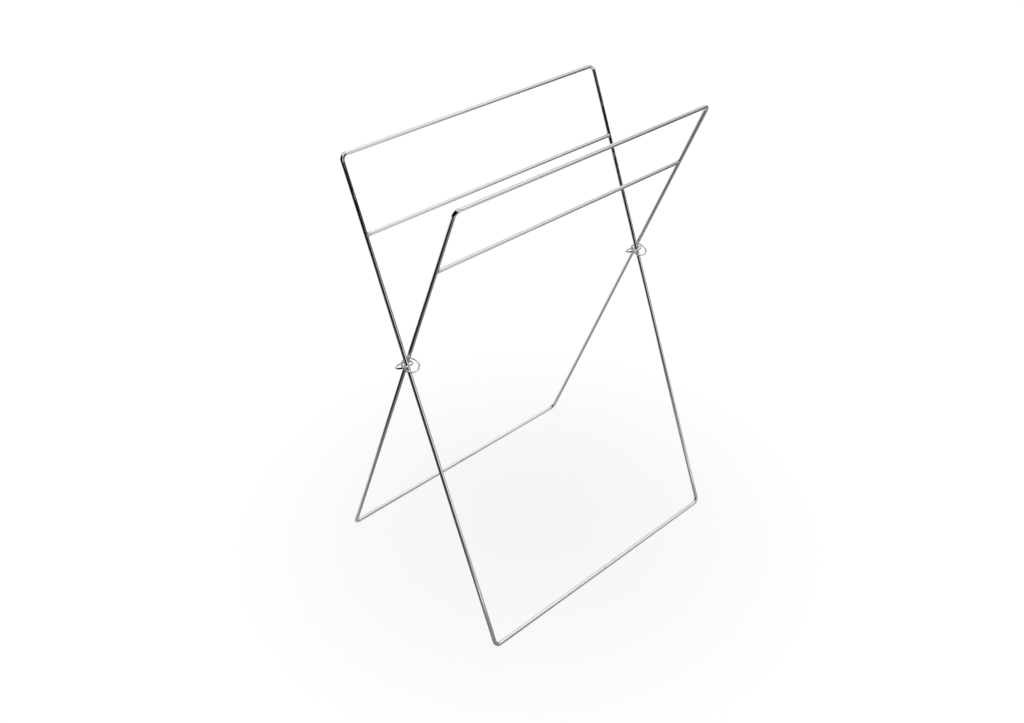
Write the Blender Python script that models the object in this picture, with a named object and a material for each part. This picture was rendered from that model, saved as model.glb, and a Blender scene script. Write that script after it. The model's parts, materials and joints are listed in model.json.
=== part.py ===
"""Magazine rack: a pair of rectangular wire frames crossed as an X and joined by linked rings."""

import math

import bpy

# Driving dimensions, in metres.
ROD_DIAMETER = 0.004
FRAME_WIDTH = 0.320  # between the centre lines of a frame's side rods
FRAME_LENGTH = 0.515  # between the centre lines of its top and bottom rods
LEG_LENGTH = 0.320  # from the bottom rod's centre line to the crossing
BEND_RADIUS = 0.006  # of the rod's centre line at the corners
CROSS_ROD_DROP = 0.074  # from the top rod's centre line to the cross rod's
LEAN = math.radians(22.5)  # of each frame from upright, with the rack fully open
RING_WIRE_DIAMETER = 0.0018
RING_PLAY = 0.0011  # left beside the other frame's rod where it is halfway across the ring
CLEARANCE = 0.0003  # between pieces that touch

# Fineness of the round shapes.
ROD_SIDES = 16
BEND_STEPS = 8
RING_STEPS = 40
RING_SIDES = 10
COPE_SIDES = 48

CHROME = (0.82, 0.83, 0.84, 1.0)

# Sizes that follow from the driving ones.
ROD_RADIUS = ROD_DIAMETER / 2
WIRE_RADIUS = RING_WIRE_DIAMETER / 2
SIDE_PITCH = ROD_DIAMETER + CLEARANCE  # between the side rods that pass each other at a crossing
RING_RADIUS = SIDE_PITCH + ROD_RADIUS + WIRE_RADIUS + RING_PLAY  # of the wire's centre line
FACET_ANGLE = 2 * math.pi / ROD_SIDES
FLAT_RADIUS = ROD_RADIUS * math.cos(FACET_ANGLE / 2)  # from the rod's centre line to a flat
CROSSING_HEIGHT = FLAT_RADIUS + LEG_LENGTH * math.cos(LEAN)
RING_OFFSET = RING_RADIUS - WIRE_RADIUS - ROD_RADIUS - CLEARANCE  # ring centre from its own rod


def clear_scene():
    for obj in list(bpy.data.objects):
        bpy.data.objects.remove(obj, do_unlink=True)


def new_collection(name):
    collection = bpy.data.collections.new(name)
    bpy.context.scene.collection.children.link(collection)
    return collection


def chrome_material(name, roughness):
    material = bpy.data.materials.new(name)
    material.use_nodes = True
    shader = material.node_tree.nodes["Principled BSDF"]
    shader.inputs["Base Color"].default_value = CHROME
    shader.inputs["Metallic"].default_value = 1.0
    shader.inputs["Roughness"].default_value = roughness
    return material


def move_to(obj, collection):
    for old in list(obj.users_collection):
        old.objects.unlink(obj)
    collection.objects.link(obj)


def gap_to_other_rod(drop):
    """Least distance from the ring wire's centre line to the other frame's rod, for a ring this far below."""
    swing = 2 * LEAN
    nearest = math.inf
    for step in range(720):
        turn = math.radians(step / 2)
        across = RING_RADIUS * math.cos(turn) - SIDE_PITCH
        out = RING_OFFSET + RING_RADIUS * math.sin(turn)
        along = out * math.sin(swing) + drop * math.cos(swing)
        nearest = min(nearest, math.sqrt(across**2 + out**2 + drop**2 - along**2))
    return nearest


def ring_drop():
    """How far below the crossing the spreading rods fill the ring, which is what stops the rack opening."""
    touching = ROD_RADIUS + WIRE_RADIUS + CLEARANCE
    far_wall = RING_OFFSET + math.sqrt(RING_RADIUS**2 - SIDE_PITCH**2)
    low = RING_OFFSET / math.tan(2 * LEAN)  # the other rod is halfway across the ring
    high = far_wall / math.tan(2 * LEAN)  # it has reached the ring's far wall
    for _ in range(50):
        middle = (low + high) / 2
        if gap_to_other_rod(middle) > touching:
            low = middle
        else:
            high = middle
    return low


def corner(centre_x, centre_y, start):
    """Points of a quarter bend, turning left from the angle start."""
    points = []
    for step in range(BEND_STEPS + 1):
        angle = start + step * math.pi / 2 / BEND_STEPS
        x = centre_x + BEND_RADIUS * math.cos(angle)
        y = centre_y + BEND_RADIUS * math.sin(angle)
        points.append((x, y))
    return points


def loop_outline():
    """The rod's centre line, flat in XY, with the crossing at y = 0."""
    right = FRAME_WIDTH / 2 - BEND_RADIUS
    top = FRAME_LENGTH - LEG_LENGTH - BEND_RADIUS
    bottom = BEND_RADIUS - LEG_LENGTH
    return (
        corner(right, bottom, -math.pi / 2)
        + corner(right, top, 0)
        + corner(-right, top, math.pi / 2)
        + corner(-right, bottom, math.pi)
    )


def frame_rod_curve():
    """A closed bent rod. Its section is turned so that a flat of the bottom rod lies on the floor."""
    curve = bpy.data.curves.new("frame_rod", "CURVE")
    curve.dimensions = "3D"
    curve.twist_mode = "Z_UP"
    curve.bevel_depth = ROD_RADIUS
    curve.bevel_resolution = ROD_SIDES // 2 - 2
    outline = loop_outline()
    spline = curve.splines.new("POLY")
    spline.points.add(len(outline) - 1)
    for point, (x, y) in zip(spline.points, outline):
        point.co = (x, y, 0, 1)
        point.tilt = LEAN + FACET_ANGLE / 2
    spline.use_cyclic_u = True
    return curve


def cylinder(name, radius, length, sides, collection):
    bpy.ops.mesh.primitive_cylinder_add(vertices=sides, radius=radius, depth=length)
    obj = bpy.context.object
    obj.name = name
    move_to(obj, collection)
    return obj


def place_on(obj, parent, location, rotation=(0, 0, 0)):
    obj.parent = parent
    obj.location = location
    obj.rotation_euler = rotation


def frame_rod(side, axis, curve, collection):
    obj = bpy.data.objects.new(f"{side}_frame_rod", curve)
    collection.objects.link(obj)
    place_on(obj, axis, (-SIDE_PITCH / 2, 0, 0), (math.pi / 2, 0, 0))


def cross_rod(side, axis, material, collection, cutters):
    """A straight rod whose ends are coped to sit round the side rods."""
    height = FRAME_LENGTH - LEG_LENGTH - CROSS_ROD_DROP
    rod = cylinder(f"{side}_frame_cross_rod", ROD_RADIUS, FRAME_WIDTH, ROD_SIDES, collection)
    rod.data.materials.append(material)
    place_on(rod, axis, (-SIDE_PITCH / 2, 0, height), (0, math.pi / 2, 0))
    for sign, end in ((-1, "left"), (1, "right")):
        cutter = cylinder(
            f"{side}_{end}_cope", ROD_RADIUS + CLEARANCE, 4 * ROD_DIAMETER, COPE_SIDES, cutters
        )
        place_on(cutter, axis, (sign * FRAME_WIDTH / 2 - SIDE_PITCH / 2, 0, height))
        cutter.hide_render = True
        cutter.display_type = "WIRE"
        cut = rod.modifiers.new(f"cope_{end}", "BOOLEAN")
        cut.operation = "DIFFERENCE"
        cut.object = cutter
    for polygon in rod.data.polygons:
        polygon.use_smooth = len(polygon.vertices) == 4


def ring(side, end, sign, drop, axis, material, collection):
    """A closed wire ring square to its side rod, with the rod against the inside of the ring.

    The sign says which side of the frame's own X the ring is on.
    """
    bpy.ops.mesh.primitive_torus_add(
        major_radius=RING_RADIUS,
        minor_radius=WIRE_RADIUS,
        major_segments=RING_STEPS,
        minor_segments=RING_SIDES,
    )
    obj = bpy.context.object
    obj.name = f"{side}_frame_{end}_ring"
    obj.data.shade_smooth()
    obj.data.materials.append(material)
    move_to(obj, collection)
    place_on(obj, axis, (sign * FRAME_WIDTH / 2 - SIDE_PITCH / 2, RING_OFFSET, -drop))


def frame_axis(side, turn, collection):
    """An empty on the hinge line that carries one frame. Its Z runs up the frame."""
    axis = bpy.data.objects.new(f"{side}_frame_axis", None)
    collection.objects.link(axis)
    axis.location = (0, 0, CROSSING_HEIGHT)
    axis.rotation_euler = (-LEAN, 0, turn)
    return axis


def main():
    clear_scene()
    rack = new_collection("magazine_rack")
    cutters = new_collection("cutters")
    rod_chrome = chrome_material("rod_chrome", 0.08)
    ring_chrome = chrome_material("ring_chrome", 0.12)
    curve = frame_rod_curve()
    curve.materials.append(rod_chrome)
    drop = ring_drop()
    for side, turn, left in (("back", 0, -1), ("front", math.pi, 1)):
        axis = frame_axis(side, turn, rack)
        frame_rod(side, axis, curve, rack)
        cross_rod(side, axis, rod_chrome, rack, cutters)
        ring(side, "left", left, drop, axis, ring_chrome, rack)
        ring(side, "right", -left, drop, axis, ring_chrome, rack)


main()
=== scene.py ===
# %% [markdown]
# # A chrome wire magazine rack
# The rack is two closed loops of bent steel wire that cross like an X. Each loop has one straight
# cross rod near its top, and a pair of linked wire rings ties the loops together at each crossing.
# Everything is chrome plated. This lesson rebuilds it piece by piece round the fixed frame, which
# already knows every position and how the loops turn about the crossing.

import json
import math

import bmesh
import bpy
from mathutils import Matrix, Vector


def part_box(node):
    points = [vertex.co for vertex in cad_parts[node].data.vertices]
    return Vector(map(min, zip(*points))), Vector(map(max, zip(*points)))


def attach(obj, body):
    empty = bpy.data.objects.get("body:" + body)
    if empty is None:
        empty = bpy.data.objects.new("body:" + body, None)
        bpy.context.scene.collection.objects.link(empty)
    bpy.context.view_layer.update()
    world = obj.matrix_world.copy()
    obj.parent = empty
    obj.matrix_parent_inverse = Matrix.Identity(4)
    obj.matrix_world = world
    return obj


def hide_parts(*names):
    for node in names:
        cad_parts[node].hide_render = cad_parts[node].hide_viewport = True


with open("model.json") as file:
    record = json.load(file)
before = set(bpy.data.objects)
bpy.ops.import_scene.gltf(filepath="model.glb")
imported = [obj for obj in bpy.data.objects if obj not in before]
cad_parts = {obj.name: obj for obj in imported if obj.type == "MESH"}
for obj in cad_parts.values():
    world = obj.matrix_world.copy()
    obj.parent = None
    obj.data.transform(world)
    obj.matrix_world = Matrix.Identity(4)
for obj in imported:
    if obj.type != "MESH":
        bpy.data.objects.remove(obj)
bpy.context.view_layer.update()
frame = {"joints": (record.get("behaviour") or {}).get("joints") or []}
crossing = Vector(frame["joints"][0]["pos_m"])
print("crossing at", [round(value, 4) for value in crossing])

# %% [markdown]
# ## Reading the sizes
# A node's box gives its lowest and highest corners. The cross rod is a straight round rod, so its
# height is the wire's diameter. Taking that radius off the box of a loop leaves the loop's centre
# line, and from the two ends of that line come the lean and the distances to the crossing.

# %% Sizes of the rods
cross_low, cross_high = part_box("back_frame_cross_rod")
ROD_RADIUS = (cross_high.z - cross_low.z) / 2

loop_low, loop_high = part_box("back_frame_rod")
HALF_WIDTH = (loop_high.x - loop_low.x) / 2 - ROD_RADIUS
SIDE_SHIFT = (loop_high.x + loop_low.x) / 2  # each loop sits a little to one side of the middle
foot = Vector((0, loop_low.y + ROD_RADIUS, loop_low.z + ROD_RADIUS))
top = Vector((0, loop_high.y - ROD_RADIUS, loop_high.z - ROD_RADIUS))
LEAN = math.atan2(top.y - foot.y, top.z - foot.z)
BOTTOM = -(foot - crossing).length
TOP = (top - crossing).length
CROSS_HEIGHT = ((cross_low.z + cross_high.z) / 2 - crossing.z) / math.cos(LEAN)
print(f"rod radius {ROD_RADIUS * 1000:.2f} mm, lean {math.degrees(LEAN):.2f} degrees")
print(f"along the loop: bottom {BOTTOM:.4f}, cross rod {CROSS_HEIGHT:.4f}, top {TOP:.4f} m")

# %% [markdown]
# A leaning ring's box mixes its radius with its wire's thickness. Its width holds the full ring,
# and its height holds only the leaning share of it, so the two together give both radii.

# %% Sizes of the rings
ring_low, ring_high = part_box("back_frame_left_ring")
half_across = (ring_high.x - ring_low.x) / 2
half_tall = (ring_high.z - ring_low.z) / 2
RING_RADIUS = (half_across - half_tall) / (1 - math.sin(LEAN))
WIRE_RADIUS = half_across - RING_RADIUS
print(f"ring radius {RING_RADIUS * 1000:.2f} mm, its wire {WIRE_RADIUS * 2000:.2f} mm thick")

# %% [markdown]
# ## Working flat
# Each loop is flat, so it is easiest to draw it upright in its own X and Z with the crossing as the
# origin, and to lean it afterwards. The front loop is the back loop turned half round about Z.

# %% Stand each loop in the rack
SIDES = {"back": 0.0, "front": math.pi}
standing = {
    side: Matrix.Translation(crossing)
    @ Matrix.Rotation(turn, 4, "Z")
    @ Matrix.Rotation(-LEAN, 4, "X")
    for side, turn in SIDES.items()
}
RINGS = ("left", "right")


def ring_centre(side, end):
    """The middle of a ring, in the upright coordinates of its own loop."""
    low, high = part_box(f"{side}_frame_{end}_ring")
    return standing[side].inverted() @ ((low + high) / 2)


for name in RINGS:
    print("back", name, "ring centre", [round(value, 5) for value in ring_centre("back", name)])

# %% [markdown]
# ## Skinning a wire
# Bent wire is a tube of equal point rings joined by quads. Each corner of each quad also remembers
# where it would be if the wire were still straight, in an attribute called straight. Grain and
# scratches are worked out in that straight space, so they follow every bend the way they do on
# drawn wire. Two more attributes, weld and rub, mark heat and wear from 0 to 1.

# %% Skin a row of point rings
ROUND = 32  # points round a rod


def skin(name, rows, straight, closed, marks):
    """A tube through rows of points. Of a closed tube, straight has one row more than rows."""
    bm = bmesh.new()
    layer = bm.loops.layers.float_vector.new("straight")
    weld = bm.verts.layers.float.new("weld")
    rub = bm.verts.layers.float.new("rub")
    grid = []
    for row, mark in zip(rows, marks):
        line = [bm.verts.new(point) for point in row]
        for vertex, (heat, wear) in zip(line, mark):
            vertex[weld] = heat
            vertex[rub] = wear
        grid.append(line)
    count = len(rows[0])
    for i in range(len(grid) if closed else len(grid) - 1):
        lower, upper = grid[i], grid[(i + 1) % len(grid)]
        for j in range(count):
            k = (j + 1) % count
            face = bm.faces.new((lower[j], lower[k], upper[k], upper[j]))
            face.smooth = True
            places = (straight[i][j], straight[i][k], straight[i + 1][k], straight[i + 1][j])
            for corner, place in zip(face.loops, places):
                corner[layer] = place
    if not closed:
        bm.faces.new(reversed(grid[0]))
        bm.faces.new(grid[-1])
    bmesh.ops.recalc_face_normals(bm, faces=bm.faces)
    mesh = bpy.data.meshes.new(name)
    bm.to_mesh(mesh)
    bm.free()
    piece = bpy.data.objects.new(name, mesh)
    bpy.context.scene.collection.objects.link(piece)
    return piece


# %% [markdown]
# Welds and rub marks fade out with distance. A smooth bump function does that for both.

# %% Fade from a middle
def fade(distance, reach):
    """1 at no distance, 0 at reach and beyond, with a soft start and end."""
    share = min(1.0, abs(distance) / reach)
    return 1 - share * share * (3 - 2 * share)


# %% [markdown]
# ## The bent loop
# On the real rack a straight wire is bent round a former at four corners and its ends are butt
# welded in the middle of the bottom rod, then ground flush. Its centre line is four straight runs
# and four quarter circles. The straight runs need few points, except close to a weld or a ring,
# where the marks change within millimetres, so points crowd there.

# %% Centre line of a loop
BEND_RADIUS = 0.006  # of the centre line, 1.5 times the wire's diameter
BEND_STEPS = 20
COARSE = 0.012  # between points on a plain run
FINE = 0.0008  # between points close to a mark
CROWDED = 0.009  # how far each side of a mark the points crowd


def stations(start, end, spots):
    """Distances from start on, crowded round the spots. The end is left to what follows."""
    length = end - start
    count = round(length / COARSE)
    places = [start + length * i / count for i in range(count)]
    steps = round(CROWDED / FINE)
    for spot in spots:
        crowd = [spot + i * FINE for i in range(-steps, steps + 1)]
        places += [place for place in crowd if start < place < end]
    places = sorted(places)
    kept = places[:1]
    for place in places[1:]:
        if place - kept[-1] > FINE / 2 and end - place > FINE / 2:
            kept.append(place)
    return kept


def centre_line(spots):
    """Points of the loop and the way out of it at each, from the middle of the bottom rod on."""
    right, low, high = HALF_WIDTH - BEND_RADIUS, BOTTOM + BEND_RADIUS, TOP - BEND_RADIUS
    line = []

    def run(centre, way, across, start, end, marks):
        for place in stations(start, end, marks):
            line.append((Vector(centre) + Vector(way) * place, Vector(across)))

    def bend(centre_x, centre_z, start):
        for step in range(BEND_STEPS):
            angle = start + step / BEND_STEPS * math.pi / 2
            out = Vector((math.cos(angle), 0, math.sin(angle)))
            line.append((Vector((centre_x, 0, centre_z)) + out * BEND_RADIUS, out))

    run((0, 0, BOTTOM), (1, 0, 0), (0, 0, -1), 0, right, [0])
    bend(right, low, -math.pi / 2)
    run((HALF_WIDTH, 0, 0), (0, 0, 1), (1, 0, 0), low, high, spots)
    bend(right, high, 0)
    run((0, 0, TOP), (-1, 0, 0), (0, 0, 1), -right, right, [])
    bend(-right, high, math.pi / 2)
    run((-HALF_WIDTH, 0, 0), (0, 0, -1), (-1, 0, 0), -high, -low, [-spot for spot in spots])
    bend(-right, low, math.pi)
    run((0, 0, BOTTOM), (1, 0, 0), (0, 0, -1), -right, 0, [0])
    return line


print("points along a loop:", len(centre_line([0.0])))

# %% [markdown]
# A loop is marked where it was heated or is rubbed. Heat came from its own cross rod, its own rings
# and the butt weld. Rubbing comes from the other loop's rings, which slide on its side rods, and
# from the floor under the bottom rod.

# %% Heat and wear on a loop
HEAT_REACH = 0.0045  # from a weld, where its heat stops showing
RUB_REACH = 0.0060  # along the rod, from the middle of the ring that rubs it
FLOOR_BAND = 0.0007  # height above the floor that scuffs reach
BUTT_HEAT = 0.6  # of full heat is left to see, because the butt weld is ground flush


def touched_at(side):
    """Where the other loop's rings hug this loop's side rods, as heights along them."""
    other = "front" if side == "back" else "back"
    low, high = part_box(f"{other}_frame_left_ring")
    return (standing[side].inverted() @ ((low + high) / 2)).z


def loop_mark(side, point, ring_height, hugged):
    """(heat, wear) at a point of the loop, given upright."""
    on_side_rod = abs(point.x) > HALF_WIDTH - BEND_RADIUS
    heat, wear = 0.0, 0.0
    if on_side_rod:
        inward = Vector((math.copysign(HALF_WIDTH - ROD_RADIUS, point.x), 0, CROSS_HEIGHT))
        outward = Vector((math.copysign(HALF_WIDTH, point.x), -ROD_RADIUS, ring_height))
        nearest = min((point - inward).length, (point - outward).length)
        heat = fade(nearest, HEAT_REACH)
        wear = fade(point.z - hugged, RUB_REACH)
    elif point.z < 0:
        heat = BUTT_HEAT * fade(point.x, HEAT_REACH)
    height = (standing[side] @ point).z
    wear = max(wear, fade(height, FLOOR_BAND))
    return heat, wear


# %% Skin the loops
def bent_loop(side):
    ring_height = ring_centre(side, "left").z
    hugged = touched_at(side)
    line = centre_line([CROSS_HEIGHT, ring_height, hugged])
    rows, straight, marks = [], [], []
    travelled = 0.0
    for i in range(len(line) + 1):
        point, out = line[i % len(line)]
        if i:
            travelled += (point - line[i - 1][0]).length
        row, flat, mark = [], [], []
        for j in range(ROUND):
            angle = 2 * math.pi * j / ROUND
            in_plane, off_plane = ROD_RADIUS * math.cos(angle), ROD_RADIUS * math.sin(angle)
            place = point + out * in_plane + Vector((0, off_plane, 0))
            row.append(place + Vector((-abs(SIDE_SHIFT), 0, 0)))
            flat.append((in_plane, off_plane, travelled))
            mark.append(loop_mark(side, place, ring_height, hugged))
        straight.append(flat)
        if i < len(line):
            rows.append([standing[side] @ place for place in row])
            marks.append(mark)
    piece = skin(f"{side}_loop", rows, straight, True, marks)
    print(piece.name, "is", round(travelled, 4), "m of wire in", len(rows), "rings of points")
    return piece


loops = {side: bent_loop(side) for side in SIDES}
for side, piece in loops.items():
    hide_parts(f"{side}_frame_rod")

# %% [markdown]
# ## The cross rod and its welds
# The cross rod butts against the side rods and is welded there, and the weld leaves a small hollow
# fillet. Both rods are equally thick, so the fillet is widest above and below the cross rod and
# shrinks almost to nothing at the front and back. For every direction round the rod the fillet is
# a short curve from a foot on the side rod, past the corner between the two surfaces, to the cross
# rod.

# %% Skin the cross rods
FILLET = 0.0011  # leg of the fillet at its widest
FILLET_STEPS = 7
SUNK = 0.00006  # how far the foot of a weld lies under the surface that it sits on
CROWN = 0.955  # share of the radius where the rods' front and back run into each other
LEAST_LEG = 0.35  # share of the leg that the fillet keeps along the cross rod, front and back
TINY = 1e-6  # keeps a division from meeting zero
CAP_INWARD = 0.3  # of the radius, from the side rod's axis to the cross rod's hidden end
CAP_REACH = 0.5  # of the radius, the size of that end
FINE_STEPS = 6  # past the fillet, while the heat fades
COARSE_STEPS = 12  # from there towards the middle
APART = 3.0  # metres that the cross rod's straight space lies from the loop's


def side_rod_surface(off_plane, radius):
    """How far the side rod's surface stands from its own axis, at this distance off the plane."""
    return math.sqrt(max(radius * radius - off_plane * off_plane, 0.0))


def weld_curve(angle):
    """Points of the fillet: how far inward from the side rod's axis, and off the cross rod's."""
    wide = math.cos(angle) ** 2
    foot_reach = ROD_RADIUS * (1 - (1 - CROWN) * (1 - wide)) + FILLET * wide
    under = ROD_RADIUS - SUNK
    reach = min(foot_reach, under / max(abs(math.sin(angle)), TINY))
    foot_in = side_rod_surface(reach * math.sin(angle), under)
    corner_in = side_rod_surface(ROD_RADIUS * math.sin(angle), ROD_RADIUS)
    start = Vector((foot_in, foot_reach))
    middle = Vector((corner_in, ROD_RADIUS))
    leg = FILLET * (LEAST_LEG + (1 - LEAST_LEG) * wide)
    end = Vector((corner_in + leg, ROD_RADIUS))
    curve = []
    for step in range(FILLET_STEPS + 1):
        t = step / FILLET_STEPS
        curve.append(start * (1 - t) ** 2 + middle * 2 * t * (1 - t) + end * t * t)
    return curve


def welded_cross_rod(side):
    angles = [2 * math.pi * j / ROUND for j in range(ROUND)]
    curves = [weld_curve(angle) for angle in angles]
    plain = ROD_RADIUS + 2 * FILLET
    profile = [[(CAP_INWARD * ROD_RADIUS, CAP_REACH * ROD_RADIUS)] * ROUND]
    profile += [[tuple(curve[step]) for curve in curves] for step in range(FILLET_STEPS + 1)]
    inner = [plain + FINE * step for step in range(FINE_STEPS)]
    inner += [plain + COARSE * step for step in range(1, COARSE_STEPS + 1)]
    profile += [[(inward, ROD_RADIUS)] * ROUND for inward in inner]
    right = [[(HALF_WIDTH - inward, reach) for inward, reach in row] for row in profile]
    left = [[(-along, reach) for along, reach in row] for row in right]
    shift = Vector((-abs(SIDE_SHIFT), 0, 0))
    weld_along = HALF_WIDTH - ROD_RADIUS
    rows, straight, marks = [], [], []
    for row in left + right[::-1]:
        flat = [(reach * math.cos(a), reach * math.sin(a), x) for (x, reach), a in zip(row, angles)]
        places = [Vector((x, off, CROSS_HEIGHT + up)) for up, off, x in flat]
        rows.append([standing[side] @ (place + shift) for place in places])
        straight.append([(up, off, x + APART) for up, off, x in flat])
        marks.append([(fade(weld_along - abs(x), HEAT_REACH), 0.0) for up, off, x in flat])
    return skin(f"{side}_cross_rod", rows, straight, False, marks)


cross_rods = {side: welded_cross_rod(side) for side in SIDES}
for side, piece in cross_rods.items():
    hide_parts(f"{side}_frame_cross_rod")
    print(piece.name, len(piece.data.polygons), "faces")

# %% [markdown]
# ## The linked rings
# A ring is thin wire coiled once and closed. It is square to its own side rod, which it holds on
# the inside, and the other loop's rod and ring pass through it. The two ends of its wire meet at
# the rod, under the weld that holds the ring on. The straight space of a ring is its unrolled wire.

# %% Skin the rings
RING_STEPS = 96
RING_ROUND = 20  # points round its wire
RUN_OUT = 0.0024  # along the wire from the weld, where its heat stops showing
UNWORN = 0.008  # along the wire from the weld, where the inside is rubbed in full again


def wire_ring(side, end):
    centre = ring_centre(side, end)
    rows, straight, marks = [], [], []
    for i in range(RING_STEPS + 1):
        turn = 2 * math.pi * i / RING_STEPS
        way_out = Vector((math.sin(turn), -math.cos(turn), 0))
        row, flat, mark = [], [], []
        from_weld = min(turn, 2 * math.pi - turn) * RING_RADIUS
        for j in range(RING_ROUND):
            angle = 2 * math.pi * j / RING_ROUND
            out, up = WIRE_RADIUS * math.cos(angle), WIRE_RADIUS * math.sin(angle)
            place = centre + way_out * (RING_RADIUS + out) + Vector((0, 0, up))
            row.append(standing[side] @ place)
            flat.append((out, up, turn * RING_RADIUS))
            inside = max(0.0, -math.cos(angle))
            mark.append((fade(from_weld, RUN_OUT), inside * (1 - fade(from_weld, UNWORN))))
        straight.append(flat)
        if i < RING_STEPS:
            rows.append(row)
            marks.append(mark)
    return skin(f"{side}_{end}_ring", rows, straight, True, marks)


rings = {(side, end): wire_ring(side, end) for side in SIDES for end in RINGS}
for (side, end), piece in rings.items():
    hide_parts(f"{side}_frame_{end}_ring")
print("rings:", len(rings), "each", RING_STEPS, "steps round")

# %% [markdown]
# ## The weld that holds a ring
# A spot of weld fills the hair of space between the ring and its own rod. It is a small waisted
# lump: it spreads on the rod below and on the ring's wire above. Seen along the line from rod to
# wire it is an oval, so it can be skinned like a wire with a few rings of points, each point laid
# on the surface that it meets.

# %% Skin the ring welds
WELD_ROUND = 24
WELD_LEVELS = (  # share of the way from rod to wire, then half its length along rod and wire
    (-0.6, 0.0008, 0.0008),
    (0.0, 0.0017, 0.0014),
    (0.2, 0.0013, 0.0012),
    (0.5, 0.0010, 0.0012),
    (0.8, 0.0008, 0.0014),
    (1.0, 0.0007, 0.0018),
    (1.6, 0.0003, 0.0009),
)


def ring_weld(side, end):
    centre = ring_centre(side, end)
    rod_x = math.copysign(HALF_WIDTH, centre.x) - abs(SIDE_SHIFT)
    rows, straight, marks = [], [], []
    for share, along_rod, along_wire in WELD_LEVELS:
        row, flat = [], []
        for j in range(WELD_ROUND):
            angle = 2 * math.pi * j / WELD_ROUND
            across, up = along_wire * math.cos(angle), along_rod * math.sin(angle)
            on_rod = -side_rod_surface(across, ROD_RADIUS) + SUNK
            wire_middle = centre.y - math.sqrt(RING_RADIUS**2 - across**2)
            on_wire = wire_middle + side_rod_surface(up, WIRE_RADIUS) - SUNK
            depth = on_rod + (on_wire - on_rod) * share
            row.append(standing[side] @ Vector((rod_x + across, depth, centre.z + up)))
            flat.append((across, up, depth))
        rows.append(row)
        straight.append(flat)
        marks.append([(1.0, 0.0)] * WELD_ROUND)
    return skin(f"{side}_{end}_ring_weld", rows, straight, False, marks)


ring_welds = {(side, end): ring_weld(side, end) for side in SIDES for end in RINGS}
print("ring welds:", len(ring_welds))

# %% [markdown]
# ## What every finish shares
# Three effects run through all the chrome. Drawing the wire through a die leaves fine lines along
# it, which the plating softens but doesn't hide. Plating and handling leave a faint uneven haze.
# Heat and rubbing leave marks. Each effect is one node group with named sockets, so a material
# only has to say how strong it is. First, small helpers make building node trees short.

# %% Helpers for node trees
def node_group(name, inputs, outputs):
    """An empty shader group with its sockets, its input node and its output node."""
    group = bpy.data.node_groups.new(name, "ShaderNodeTree")
    for label, kind, value in inputs:
        socket = group.interface.new_socket(name=label, in_out="INPUT", socket_type=kind)
        if value is not None:
            socket.default_value = value
    for label, kind in outputs:
        group.interface.new_socket(name=label, in_out="OUTPUT", socket_type=kind)
    return group, group.nodes.new("NodeGroupInput"), group.nodes.new("NodeGroupOutput")


def feed(tree, target, source):
    """Sets an input to a number or a colour, or links an output to it."""
    if isinstance(source, bpy.types.NodeSocket):
        tree.links.new(source, target)
    else:
        target.default_value = source


def maths(tree, operation, *values, clamp=False):
    node = tree.nodes.new("ShaderNodeMath")
    node.operation = operation
    node.use_clamp = clamp
    for target, value in zip(node.inputs, values):
        feed(tree, target, value)
    return node.outputs[0]


def scaled(tree, vector, by):
    node = tree.nodes.new("ShaderNodeVectorMath")
    node.operation = "MULTIPLY"
    feed(tree, node.inputs[0], vector)
    feed(tree, node.inputs[1], by)
    return node.outputs[0]


def noise(tree, vector, scale, detail, roughness=0.5):
    node = tree.nodes.new("ShaderNodeTexNoise")
    feed(tree, node.inputs["Vector"], vector)
    feed(tree, node.inputs["Scale"], scale)
    feed(tree, node.inputs["Detail"], detail)
    feed(tree, node.inputs["Roughness"], roughness)
    return node.outputs[0]


def ranged(tree, value, low, high, to_low=0.0, to_high=1.0):
    """Spreads the part of value between low and high over the new range, and stops at its ends."""
    node = tree.nodes.new("ShaderNodeMapRange")
    for target, source in zip(node.inputs, (value, low, high, to_low, to_high)):
        feed(tree, target, source)
    return node.outputs[0]


# %% [markdown]
# Drawn lines are noise that is stretched along the wire: many changes round it, few along it. One
# layer gives the even fine lines, and a second, wider apart and cut off at a threshold, gives the
# odd deeper scratch that a worn die leaves.

# %% Group: drawn lines
SCRATCHES_PER_LINE = 0.4  # so the scratches lie wider apart than the fine lines
SCRATCHED = (0.60, 0.72)  # of the wide noise, from no scratch to a full one

lines_group, taken, given = node_group(
    "Drawn lines",
    [
        ("Straight", "NodeSocketVector", None),
        ("Lines per metre", "NodeSocketFloat", 6000.0),
        ("Stretch", "NodeSocketFloat", 0.01),
        ("Deep share", "NodeSocketFloat", 0.3),
    ],
    [("Height", "NodeSocketFloat"), ("Deep", "NodeSocketFloat")],
)
stretch = lines_group.nodes.new("ShaderNodeCombineXYZ")
stretch.inputs["X"].default_value = 1.0
stretch.inputs["Y"].default_value = 1.0
lines_group.links.new(taken.outputs["Stretch"], stretch.inputs["Z"])
drawn = scaled(lines_group, taken.outputs["Straight"], stretch.outputs[0])
fine = noise(lines_group, drawn, taken.outputs["Lines per metre"], detail=3.0, roughness=0.6)
wide_apart = maths(lines_group, "MULTIPLY", taken.outputs["Lines per metre"], SCRATCHES_PER_LINE)
coarse = noise(lines_group, drawn, wide_apart, detail=1.0)
deep = ranged(lines_group, coarse, *SCRATCHED)
cut = maths(lines_group, "MULTIPLY", deep, taken.outputs["Deep share"])
height = maths(lines_group, "SUBTRACT", fine, cut)
lines_group.links.new(height, given.inputs["Height"])
lines_group.links.new(deep, given.inputs["Deep"])
print(lines_group.name, "has", len(lines_group.nodes), "nodes")

# %% [markdown]
# The haze is patchy at two sizes: broad clouds from uneven plating, and small smears from fingers
# that lie across the wire where it was picked up. They make the reflection less sharp and a little
# darker. The small noise is also put out as a ripple, for the faint waviness of the plating.

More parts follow.
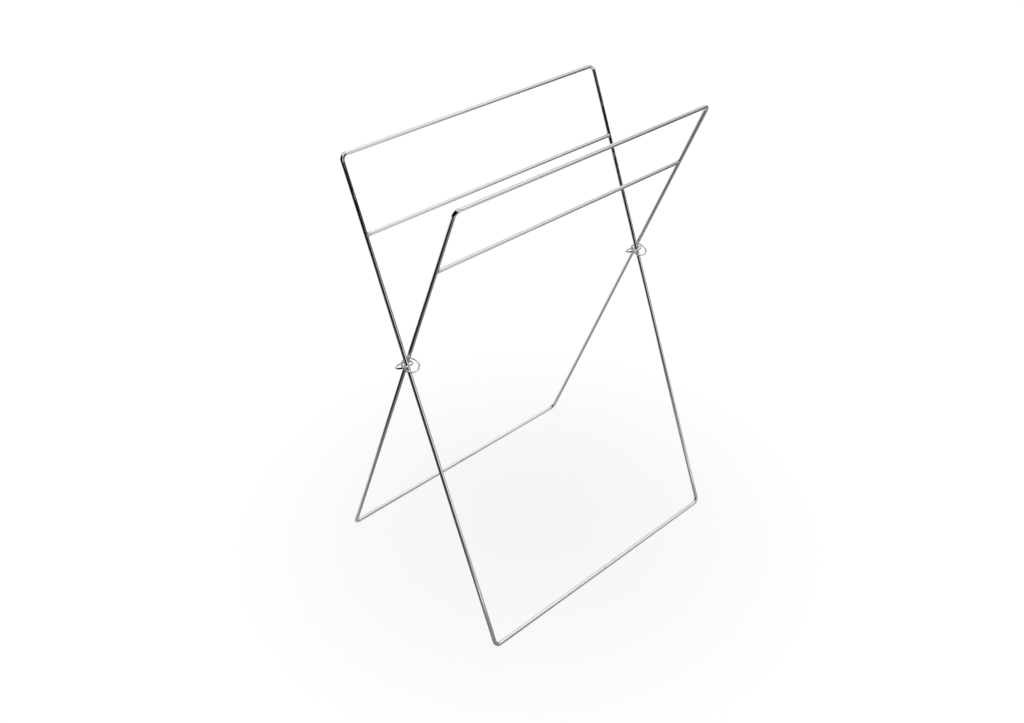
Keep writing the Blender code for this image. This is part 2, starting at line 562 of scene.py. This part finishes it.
# %% Group: handling haze
CLOUDY = (0.38, 0.68)  # of the broad noise, from clear to clouded
SMEARED = (0.52, 0.74)  # of the small noise, from clean to smeared
CLOUD_ALONE = 0.35  # haze of a cloud with no smear on it

haze_group, taken, given = node_group(
    "Handling haze",
    [
        ("Straight", "NodeSocketVector", None),
        ("Clouds per metre", "NodeSocketFloat", 18.0),
        ("Smears per metre", "NodeSocketFloat", 160.0),
    ],
    [("Haze", "NodeSocketFloat"), ("Ripple", "NodeSocketFloat")],
)
straight = taken.outputs["Straight"]
clouds = noise(haze_group, straight, taken.outputs["Clouds per metre"], detail=3.0)
smears = noise(haze_group, straight, taken.outputs["Smears per metre"], detail=4.0, roughness=0.7)
cloudy = ranged(haze_group, clouds, *CLOUDY)
smeared = ranged(haze_group, smears, *SMEARED)
both = maths(haze_group, "MULTIPLY", cloudy, smeared)
mixed = maths(haze_group, "MULTIPLY_ADD", cloudy, CLOUD_ALONE, both, clamp=True)
haze_group.links.new(mixed, given.inputs["Haze"])
haze_group.links.new(smears, given.inputs["Ripple"])
print(haze_group.name, "has", len(haze_group.nodes), "nodes")

# %% [markdown]
# Heat and wear start from the marks on the mesh and are broken up by noise, so that neither ends
# in a clean circle. Chrome over a weld is a little darker and duller and shows the weld's ripples.
# A rubbed place is covered in tiny scuffs that run every way.

# %% Group: heat and wear
RAGGED = 0.9  # how far the grain shifts the edge of a heated place
HEATED = (0.15, 0.75)  # of the shifted mark, from no heat to full heat
SCUFFED = (0.46, 0.62)  # of the grain, from smooth to scuffed
SCUFF_DEPTH = 0.08  # of the height of a weld's ripples

worn_group, taken, given = node_group(
    "Heat and wear",
    [
        ("Straight", "NodeSocketVector", None),
        ("Weld", "NodeSocketFloat", 0.0),
        ("Rub", "NodeSocketFloat", 0.0),
        ("Grain per metre", "NodeSocketFloat", 1500.0),
    ],
    [("Heat", "NodeSocketFloat"), ("Scuff", "NodeSocketFloat"), ("Height", "NodeSocketFloat")],
)
straight = taken.outputs["Straight"]
per_metre = taken.outputs["Grain per metre"]
grain = noise(worn_group, straight, per_metre, detail=4.0, roughness=0.65)
broken = maths(worn_group, "MULTIPLY_ADD", grain, RAGGED, -RAGGED / 2)
heat_edge = maths(worn_group, "ADD", taken.outputs["Weld"], broken)
heat_share = ranged(worn_group, heat_edge, *HEATED)
heated = maths(worn_group, "MULTIPLY", heat_share, taken.outputs["Weld"])
scuff_edge = ranged(worn_group, grain, *SCUFFED)
scuffed = maths(worn_group, "MULTIPLY", scuff_edge, taken.outputs["Rub"])
ripples = noise(worn_group, straight, per_metre, detail=1.0)
raised = maths(worn_group, "MULTIPLY", ripples, heated)
pitted = maths(worn_group, "MULTIPLY", scuffed, SCUFF_DEPTH)
lowered = maths(worn_group, "SUBTRACT", raised, pitted)
worn_group.links.new(heated, given.inputs["Heat"])
worn_group.links.new(scuffed, given.inputs["Scuff"])
worn_group.links.new(lowered, given.inputs["Height"])
print(worn_group.name, "has", len(worn_group.nodes), "nodes")

# %% [markdown]
# ## The chrome
# Polished chrome is a mirror: a metal with a nearly neutral colour and a very low roughness. What
# makes it look real is that the roughness is never quite even. The rods and the rings use the same
# tree with their own numbers, because the ring wire is thinner, so its lines are closer together,
# and it is polished less well than the rods.

# %% Build a chrome material
BRIGHT = (0.86, 0.865, 0.87, 1.0)
TINTED = (0.66, 0.64, 0.61, 1.0)  # over a weld
HAZE_TINT = 0.12  # of that tint in full haze
HEAT_DULL = 0.16  # roughness that a weld, a scuff and a scratch add
SCUFF_DULL = 0.14
SCRATCH_DULL = 0.05
WORN_RELIEF = 4.5e-5  # metres, the height of a weld's ripples
HAZE_RELIEF = 7e-6  # metres, the waviness of the plating


def attribute(tree, name):
    node = tree.nodes.new("ShaderNodeAttribute")
    node.attribute_name = name
    return node


def placed(tree, group, **values):
    """A group in a tree, with its inputs set by name (spaces written as underscores)."""
    node = tree.nodes.new("ShaderNodeGroup")
    node.node_tree = group
    for label, value in values.items():
        feed(tree, node.inputs[label.replace("_", " ")], value)
    return node


def chrome(name, polish, hazed, lines_per_metre, line_depth, grain_per_metre):
    material = bpy.data.materials.new(name)
    material.use_nodes = True
    tree = material.node_tree
    shader = tree.nodes["Principled BSDF"]
    shader.inputs["Metallic"].default_value = 1.0
    place = attribute(tree, "straight").outputs["Vector"]
    lines = placed(tree, lines_group, Straight=place, Lines_per_metre=lines_per_metre)
    haze = placed(tree, haze_group, Straight=place)
    weld = attribute(tree, "weld").outputs["Fac"]
    rub = attribute(tree, "rub").outputs["Fac"]
    marks = {"Weld": weld, "Rub": rub}
    worn = placed(tree, worn_group, Straight=place, **marks, Grain_per_metre=grain_per_metre)

    colour = tree.nodes.new("ShaderNodeMix")
    colour.data_type = "RGBA"
    colour.inputs["A"].default_value = BRIGHT
    colour.inputs["B"].default_value = TINTED
    haze_share, heat = haze.outputs["Haze"], worn.outputs["Heat"]
    tint = maths(tree, "MULTIPLY_ADD", haze_share, HAZE_TINT, heat, clamp=True)
    tree.links.new(tint, colour.inputs["Factor"])
    tree.links.new(colour.outputs["Result"], shader.inputs["Base Color"])

    roughness = maths(tree, "MULTIPLY_ADD", haze_share, hazed, polish)
    roughness = maths(tree, "MULTIPLY_ADD", heat, HEAT_DULL, roughness)
    roughness = maths(tree, "MULTIPLY_ADD", worn.outputs["Scuff"], SCUFF_DULL, roughness)
    roughness = maths(tree, "MULTIPLY_ADD", lines.outputs["Deep"], SCRATCH_DULL, roughness)
    tree.links.new(roughness, shader.inputs["Roughness"])

    relief = maths(tree, "MULTIPLY", lines.outputs["Height"], line_depth)
    relief = maths(tree, "MULTIPLY_ADD", worn.outputs["Height"], WORN_RELIEF, relief)
    relief = maths(tree, "MULTIPLY_ADD", haze.outputs["Ripple"], HAZE_RELIEF, relief)
    bump = tree.nodes.new("ShaderNodeBump")
    bump.inputs["Strength"].default_value = 1.0
    bump.inputs["Distance"].default_value = 1.0  # a metre, because the relief is in metres
    tree.links.new(relief, bump.inputs["Height"])
    tree.links.new(bump.outputs["Normal"], shader.inputs["Normal"])
    print(name, "polish", polish, "lines per metre", lines_per_metre)
    return material


# %% Finish the rods and the rings
rod_finish = chrome(
    "rod_chrome_plate",
    polish=0.045,
    hazed=0.10,
    lines_per_metre=4000.0,
    line_depth=3e-6,
    grain_per_metre=1400.0,
)
ring_finish = chrome(
    "ring_chrome_plate",
    polish=0.07,
    hazed=0.12,
    lines_per_metre=7000.0,
    line_depth=2e-6,
    grain_per_metre=2600.0,
)
for piece in [*loops.values(), *cross_rods.values()]:
    piece.data.materials.append(rod_finish)
for piece in [*rings.values(), *ring_welds.values()]:
    piece.data.materials.append(ring_finish)

# %% [markdown]
# ## Riding on the frame
# Each loop carries its own cross rod, rings and welds, so all of those ride on that loop's body.

# %% Put every piece on its body
for side in SIDES:
    body = f"{side}_frame"
    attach(loops[side], body)
    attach(cross_rods[side], body)
    for end in RINGS:
        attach(rings[side, end], body)
        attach(ring_welds[side, end], body)

# %% [markdown]
# ## What the chrome mirrors
# Chrome has hardly any look of its own: it shows the studio round it. The black lines in a
# polished rod are the dark room, and the white ones are softboxes and cards. Each card lies in some
# direction, so one group, a soft edged card at an azimuth and elevation, builds them all. It turns
# the direction to face the card and measures how far it is off to the side and in height.

# %% Group: soft card
def soft_step(tree, value, start, end):
    """0 at start, 1 at end, soft at both; start may be the larger."""
    step = ranged(tree, value, start, end)
    step.node.interpolation_type = "SMOOTHSTEP"
    return step


def soft_band(tree, value, middle, half, edge):
    """1 within half of the middle, fading over edge."""
    off = maths(tree, "ABSOLUTE", maths(tree, "SUBTRACT", value, middle))
    outer = maths(tree, "ADD", half, edge)
    inner = maths(tree, "SUBTRACT", half, edge)
    return soft_step(tree, off, outer, inner)


CARD_EDGE = math.radians(3)

card_group, taken, given = node_group(
    "Soft card",
    [
        ("Direction", "NodeSocketVector", None),
        ("Azimuth", "NodeSocketFloat", 0.0),
        ("Elevation", "NodeSocketFloat", 0.5),
        ("Half width", "NodeSocketFloat", 0.4),
        ("Half height", "NodeSocketFloat", 0.4),
        ("Edge", "NodeSocketFloat", CARD_EDGE),
    ],
    [("Mask", "NodeSocketFloat")],
)
facing = card_group.nodes.new("ShaderNodeVectorRotate")
facing.rotation_type = "Z_AXIS"
card_group.links.new(taken.outputs["Direction"], facing.inputs["Vector"])
back_turn = maths(card_group, "MULTIPLY", taken.outputs["Azimuth"], -1.0)
card_group.links.new(back_turn, facing.inputs["Angle"])
turned = card_group.nodes.new("ShaderNodeSeparateXYZ")
card_group.links.new(facing.outputs[0], turned.inputs[0])
aside = maths(card_group, "ARCTAN2", turned.outputs["Y"], turned.outputs["X"])
raised_by = maths(card_group, "ARCSINE", turned.outputs["Z"])
edge = taken.outputs["Edge"]
elevation = taken.outputs["Elevation"]
in_width = soft_band(card_group, aside, 0.0, taken.outputs["Half width"], edge)
in_height = soft_band(card_group, raised_by, elevation, taken.outputs["Half height"], edge)
in_card = maths(card_group, "MULTIPLY", in_width, in_height)
card_group.links.new(in_card, given.inputs["Mask"])
print(card_group.name, "has", len(card_group.nodes), "nodes")

# %% [markdown]
# The studio has two big softboxes on the right, one towards the front and one towards the back. A
# low white card stands in front and a dimmer one at the back right, another hangs higher in front,
# and the ceiling is pale. A grey card stands before the front softbox. The rest of the room is
# dark. Where the room is looked at directly it is plain white, which the Light Path node sees to.

# %% Build the studio room
CARDS = (  # azimuth, elevation, half width, half height in degrees, and brightness
    (287, 0, 17, 10, 1.09),
    (329, 38, 22, 26, 1.15),
    (35, 21, 27, 42, 0.94),
    (57, 0, 18, 10, 0.74),
    (261, 30, 23, 12, 0.73),
    (332, 30, 12, 14, 0.55),
)
ROOM_DARK = 0.004
CEILING_FROM = math.radians(55)
CEILING_FULL = math.radians(63)
CEILING_BRIGHT = 1.15
SEEN_WHITE = 1.05  # of the room where it is looked at directly


def over(tree, level, mask, bright):
    """A card or patch laid over the level that was there."""
    node = tree.nodes.new("ShaderNodeMix")
    node.data_type = "FLOAT"
    feed(tree, node.inputs["Factor"], mask)
    feed(tree, node.inputs["A"], level)
    feed(tree, node.inputs["B"], bright)
    return node.outputs["Result"]


def studio_room():
    world = bpy.data.worlds.new("studio_room")
    bpy.context.scene.world = world
    world.use_nodes = True
    tree = world.node_tree
    way = tree.nodes.new("ShaderNodeTexCoord").outputs["Generated"]
    level = ROOM_DARK
    for azimuth, elevation, half_width, half_height, bright in CARDS:
        card = placed(
            tree,
            card_group,
            Direction=way,
            Azimuth=math.radians(azimuth),
            Elevation=math.radians(elevation),
            Half_width=math.radians(half_width),
            Half_height=math.radians(half_height),
        )
        level = over(tree, level, card.outputs["Mask"], bright)
    parts = tree.nodes.new("ShaderNodeSeparateXYZ")
    tree.links.new(way, parts.inputs[0])
    up = maths(tree, "ARCSINE", parts.outputs["Z"])
    level = over(tree, level, soft_step(tree, up, CEILING_FROM, CEILING_FULL), CEILING_BRIGHT)
    seen = tree.nodes.new("ShaderNodeLightPath").outputs["Is Camera Ray"]
    level = over(tree, level, seen, SEEN_WHITE)
    tree.links.new(level, tree.nodes["Background"].inputs["Strength"])
    tree.nodes["Background"].inputs["Color"].default_value = (1, 1, 1, 1)
    return world


print("world:", studio_room().name, "with", len(CARDS), "cards")

# %% [markdown]
# ## The floor
# The rack stands on a pale sheet. Looked at directly, the sheet is clear, with a painted shadow,
# a faint grey pool under the rack, that tints the white behind it, so it is the clean bright ground
# that the rack is seen against, and it hides nothing when the turned front loop dips its foot below
# it. In the rods it is what their lower halves mirror, and there it glows with painted light and
# shade: grey close by, light behind and in front, painted dark on either side and in the front left
# corner, and one painted lighter strip that runs in from the right. At a grazing angle it takes on
# a little painted sheen. The Light Path node keeps the two apart. Far off, and seen from below, the
# mirrored floor gives way to the room.

# %% Lay the floor
FLOOR_REACH = 20.0
FLOOR_CELLS = 8
SEEN_FLOOR = 0.933  # share of the white behind it that the floor lets through
SHADOW_POOL_GREY = 0.845  # of that share, in the middle of the painted shadow pool
SHADOW_POOL_RADIUS = 0.62
TOOTH_PER_METRE = 900.0
TOOTH = (0.995, 1.005)  # how much the paper's tooth darkens and lightens it
PAPER_SHADE = (0.12, 0.12, 0.12, 1.0)
# The mirrored floor's emission levels are painted light and shade, not the paper's own colour.
NEAR_GREY_LEFT = 0.21
NEAR_GREY_RIGHT = 0.32
GREY_TURN = (0.0, 0.17)  # x, from the left grey to the right one
BACK_EDGE = (0.08, 0.20)  # y, from the near grey to the light floor behind
BACK_BRIGHT = 0.86
FRONT_EDGE = (-0.36, -0.50)  # y, from the near grey to the light floor in front
FRONT_BRIGHT = 0.94
# Painted shade: the dark level of the mirrored floor at either side and in the front left corner.
PAINTED_SHADE_LEVEL = 0.016
PAINTED_PATCHES = (  # painted light and shade of the mirrored floor: middle x, middle y, half width, half depth in metres, and brightness
    (-0.53, 0.16, 0.27, 0.38, PAINTED_SHADE_LEVEL),
    (0.83, -0.07, 0.31, 0.74, PAINTED_SHADE_LEVEL),
    (0.47, -0.08, 0.27, 0.08, 0.60),
)
PATCH_EDGE = 0.07
CORNER_WAY = (-0.8, -0.6)  # x and y of the way to the front left corner, which is painted dark
CORNER_EDGE = (0.47, 0.80)  # metres that way, from the light floor to the dark
SHEEN_POWER = 4.0  # how close to grazing the sheen starts
SHEEN_SHARE = 0.22  # of the painted bright sheen that the mirrored floor takes on at a grazing angle
SHEEN_BRIGHT = 0.95
MIRROR_NEAR = 1.1  # from here the mirrored floor gives way to the room
MIRROR_FAR = 2.4


def floor_sheet():
    bm = bmesh.new()
    bmesh.ops.create_grid(bm, x_segments=FLOOR_CELLS, y_segments=FLOOR_CELLS, size=FLOOR_REACH)
    mesh = bpy.data.meshes.new("floor")
    bm.to_mesh(mesh)
    bm.free()
    sheet = bpy.data.objects.new("floor", mesh)
    bpy.context.scene.collection.objects.link(sheet)
    return sheet


def emission(tree, strength):
    node = tree.nodes.new("ShaderNodeEmission")
    tree.links.new(strength, node.inputs["Strength"])
    return node.outputs[0]


def either(tree, factor, first, second):
    node = tree.nodes.new("ShaderNodeMixShader")
    tree.links.new(factor, node.inputs["Fac"])
    tree.links.new(first, node.inputs[1])
    tree.links.new(second, node.inputs[2])
    return node.outputs[0]


def seen_floor(tree, place, distance):
    bumpy = noise(tree, place, TOOTH_PER_METRE, detail=2.0)
    tooth = ranged(tree, bumpy, 0.0, 1.0, *TOOTH)
    # Painted shadow: the floor lets less white through towards its middle, a soft grey pool under
    # the rack.
    painted_shadow = soft_step(tree, distance, 0.0, SHADOW_POOL_RADIUS)
    light = ranged(tree, painted_shadow, 0.0, 1.0, SHADOW_POOL_GREY * SEEN_FLOOR, SEEN_FLOOR)
    shade = tree.nodes.new("ShaderNodeBsdfDiffuse")
    shade.inputs["Color"].default_value = PAPER_SHADE
    tinted = tree.nodes.new("ShaderNodeBsdfTransparent")
    tree.links.new(maths(tree, "MULTIPLY", light, tooth), tinted.inputs["Color"])
    both = tree.nodes.new("ShaderNodeAddShader")
    tree.links.new(tinted.outputs[0], both.inputs[0])
    tree.links.new(shade.outputs[0], both.inputs[1])
    return both.outputs[0]


def mirrored_floor(tree, place, distance):
    parts = tree.nodes.new("ShaderNodeSeparateXYZ")
    tree.links.new(place, parts.inputs[0])
    x, y = parts.outputs["X"], parts.outputs["Y"]
    # Painted light and shade: the mirrored floor glows grey close by, lighter behind and in front,
    # painted dark at the sides and the front left corner, with one painted lighter strip.
    level = over(tree, NEAR_GREY_LEFT, soft_step(tree, x, *GREY_TURN), NEAR_GREY_RIGHT)
    level = over(tree, level, soft_step(tree, y, *BACK_EDGE), BACK_BRIGHT)
    level = over(tree, level, soft_step(tree, y, *FRONT_EDGE), FRONT_BRIGHT)
    for middle_x, middle_y, half_width, half_depth, bright in PAINTED_PATCHES:
        wide = soft_band(tree, x, middle_x, half_width, PATCH_EDGE)
        deep = soft_band(tree, y, middle_y, half_depth, PATCH_EDGE)
        level = over(tree, level, maths(tree, "MULTIPLY", wide, deep), bright)
    along_y = maths(tree, "MULTIPLY", y, CORNER_WAY[1])
    to_corner = maths(tree, "MULTIPLY_ADD", x, CORNER_WAY[0], along_y)
    level = over(tree, level, soft_step(tree, to_corner, *CORNER_EDGE), PAINTED_SHADE_LEVEL)
    # A painted sheen: the mirrored floor is brightened towards a grazing angle.
    facing = tree.nodes.new("ShaderNodeLayerWeight").outputs["Facing"]
    sheen = maths(tree, "MULTIPLY", maths(tree, "POWER", facing, SHEEN_POWER), SHEEN_SHARE)
    level = over(tree, level, sheen, SHEEN_BRIGHT)
    clear = tree.nodes.new("ShaderNodeBsdfTransparent")
    from_below = tree.nodes.new("ShaderNodeNewGeometry").outputs["Backfacing"]
    far = maths(tree, "MAXIMUM", soft_step(tree, distance, MIRROR_NEAR, MIRROR_FAR), from_below)
    return either(tree, far, emission(tree, level), clear.outputs[0])


def floor_finish():
    material = bpy.data.materials.new("floor_paper")
    material.use_nodes = True
    tree = material.node_tree
    tree.nodes.remove(tree.nodes["Principled BSDF"])
    place = tree.nodes.new("ShaderNodeTexCoord").outputs["Object"]
    length = tree.nodes.new("ShaderNodeVectorMath")
    length.operation = "LENGTH"
    tree.links.new(place, length.inputs[0])
    distance = length.outputs["Value"]
    camera_ray = tree.nodes.new("ShaderNodeLightPath").outputs["Is Camera Ray"]
    surface = either(
        tree, camera_ray, mirrored_floor(tree, place, distance), seen_floor(tree, place, distance)
    )
    tree.links.new(surface, tree.nodes["Material Output"].inputs["Surface"])
    return material


floor = floor_sheet()
floor.data.materials.append(floor_finish())
print("floor reaches", FLOOR_REACH, "m each way")

# %% [markdown]
# ## Light and camera
# The cards already light the chrome. One wide soft light overhead adds the soft shade under the
# bottom rods. It stays out of the picture and out of the reflections.

# %% Hang the soft light
def soft_light(name, place, aim, size, power):
    data = bpy.data.lights.new(name, "AREA")
    data.size = size
    data.energy = power
    lamp = bpy.data.objects.new(name, data)
    bpy.context.scene.collection.objects.link(lamp)
    lamp.location = place
    lamp.rotation_euler = (Vector(place) - Vector(aim)).to_track_quat("Z", "Y").to_euler()
    lamp.visible_camera = False
    lamp.visible_glossy = False
    return lamp


soft_light("overhead", place=(0.3, 0.3, 2.2), aim=(0.0, 0.0, 0.2), size=1.4, power=12.0)

# %% [markdown]
# The camera looks down on the rack from the front left corner. It stands on a line that leaves a
# point near the middle of the rack at the chosen azimuth and elevation.

# %% Place the camera
AZIMUTH = math.radians(-42.99)
ELEVATION = math.radians(35.355)
DISTANCE = 1.1643
AIM = Vector((-0.0216, 0.0046, 0.2240))  # where the middle of the view falls
SENSOR = 36.0  # millimetres, as is the lens
LENS = 39.27
NEAR_CLIP = 0.01


def viewing_camera():
    data = bpy.data.cameras.new("camera")
    data.sensor_width = SENSOR
    data.lens = LENS
    data.clip_start = NEAR_CLIP
    camera = bpy.data.objects.new("camera", data)
    bpy.context.scene.collection.objects.link(camera)
    camera.rotation_euler = (math.pi / 2 - ELEVATION, 0, AZIMUTH)
    back = Vector((math.sin(AZIMUTH), -math.cos(AZIMUTH), 0)) * math.cos(ELEVATION)
    back.z = math.sin(ELEVATION)
    camera.location = AIM + back * DISTANCE
    bpy.context.scene.camera = camera
    return camera


camera = viewing_camera()
bpy.context.scene.view_settings.view_transform = "Standard"
print("camera at", [round(value, 4) for value in camera.location])
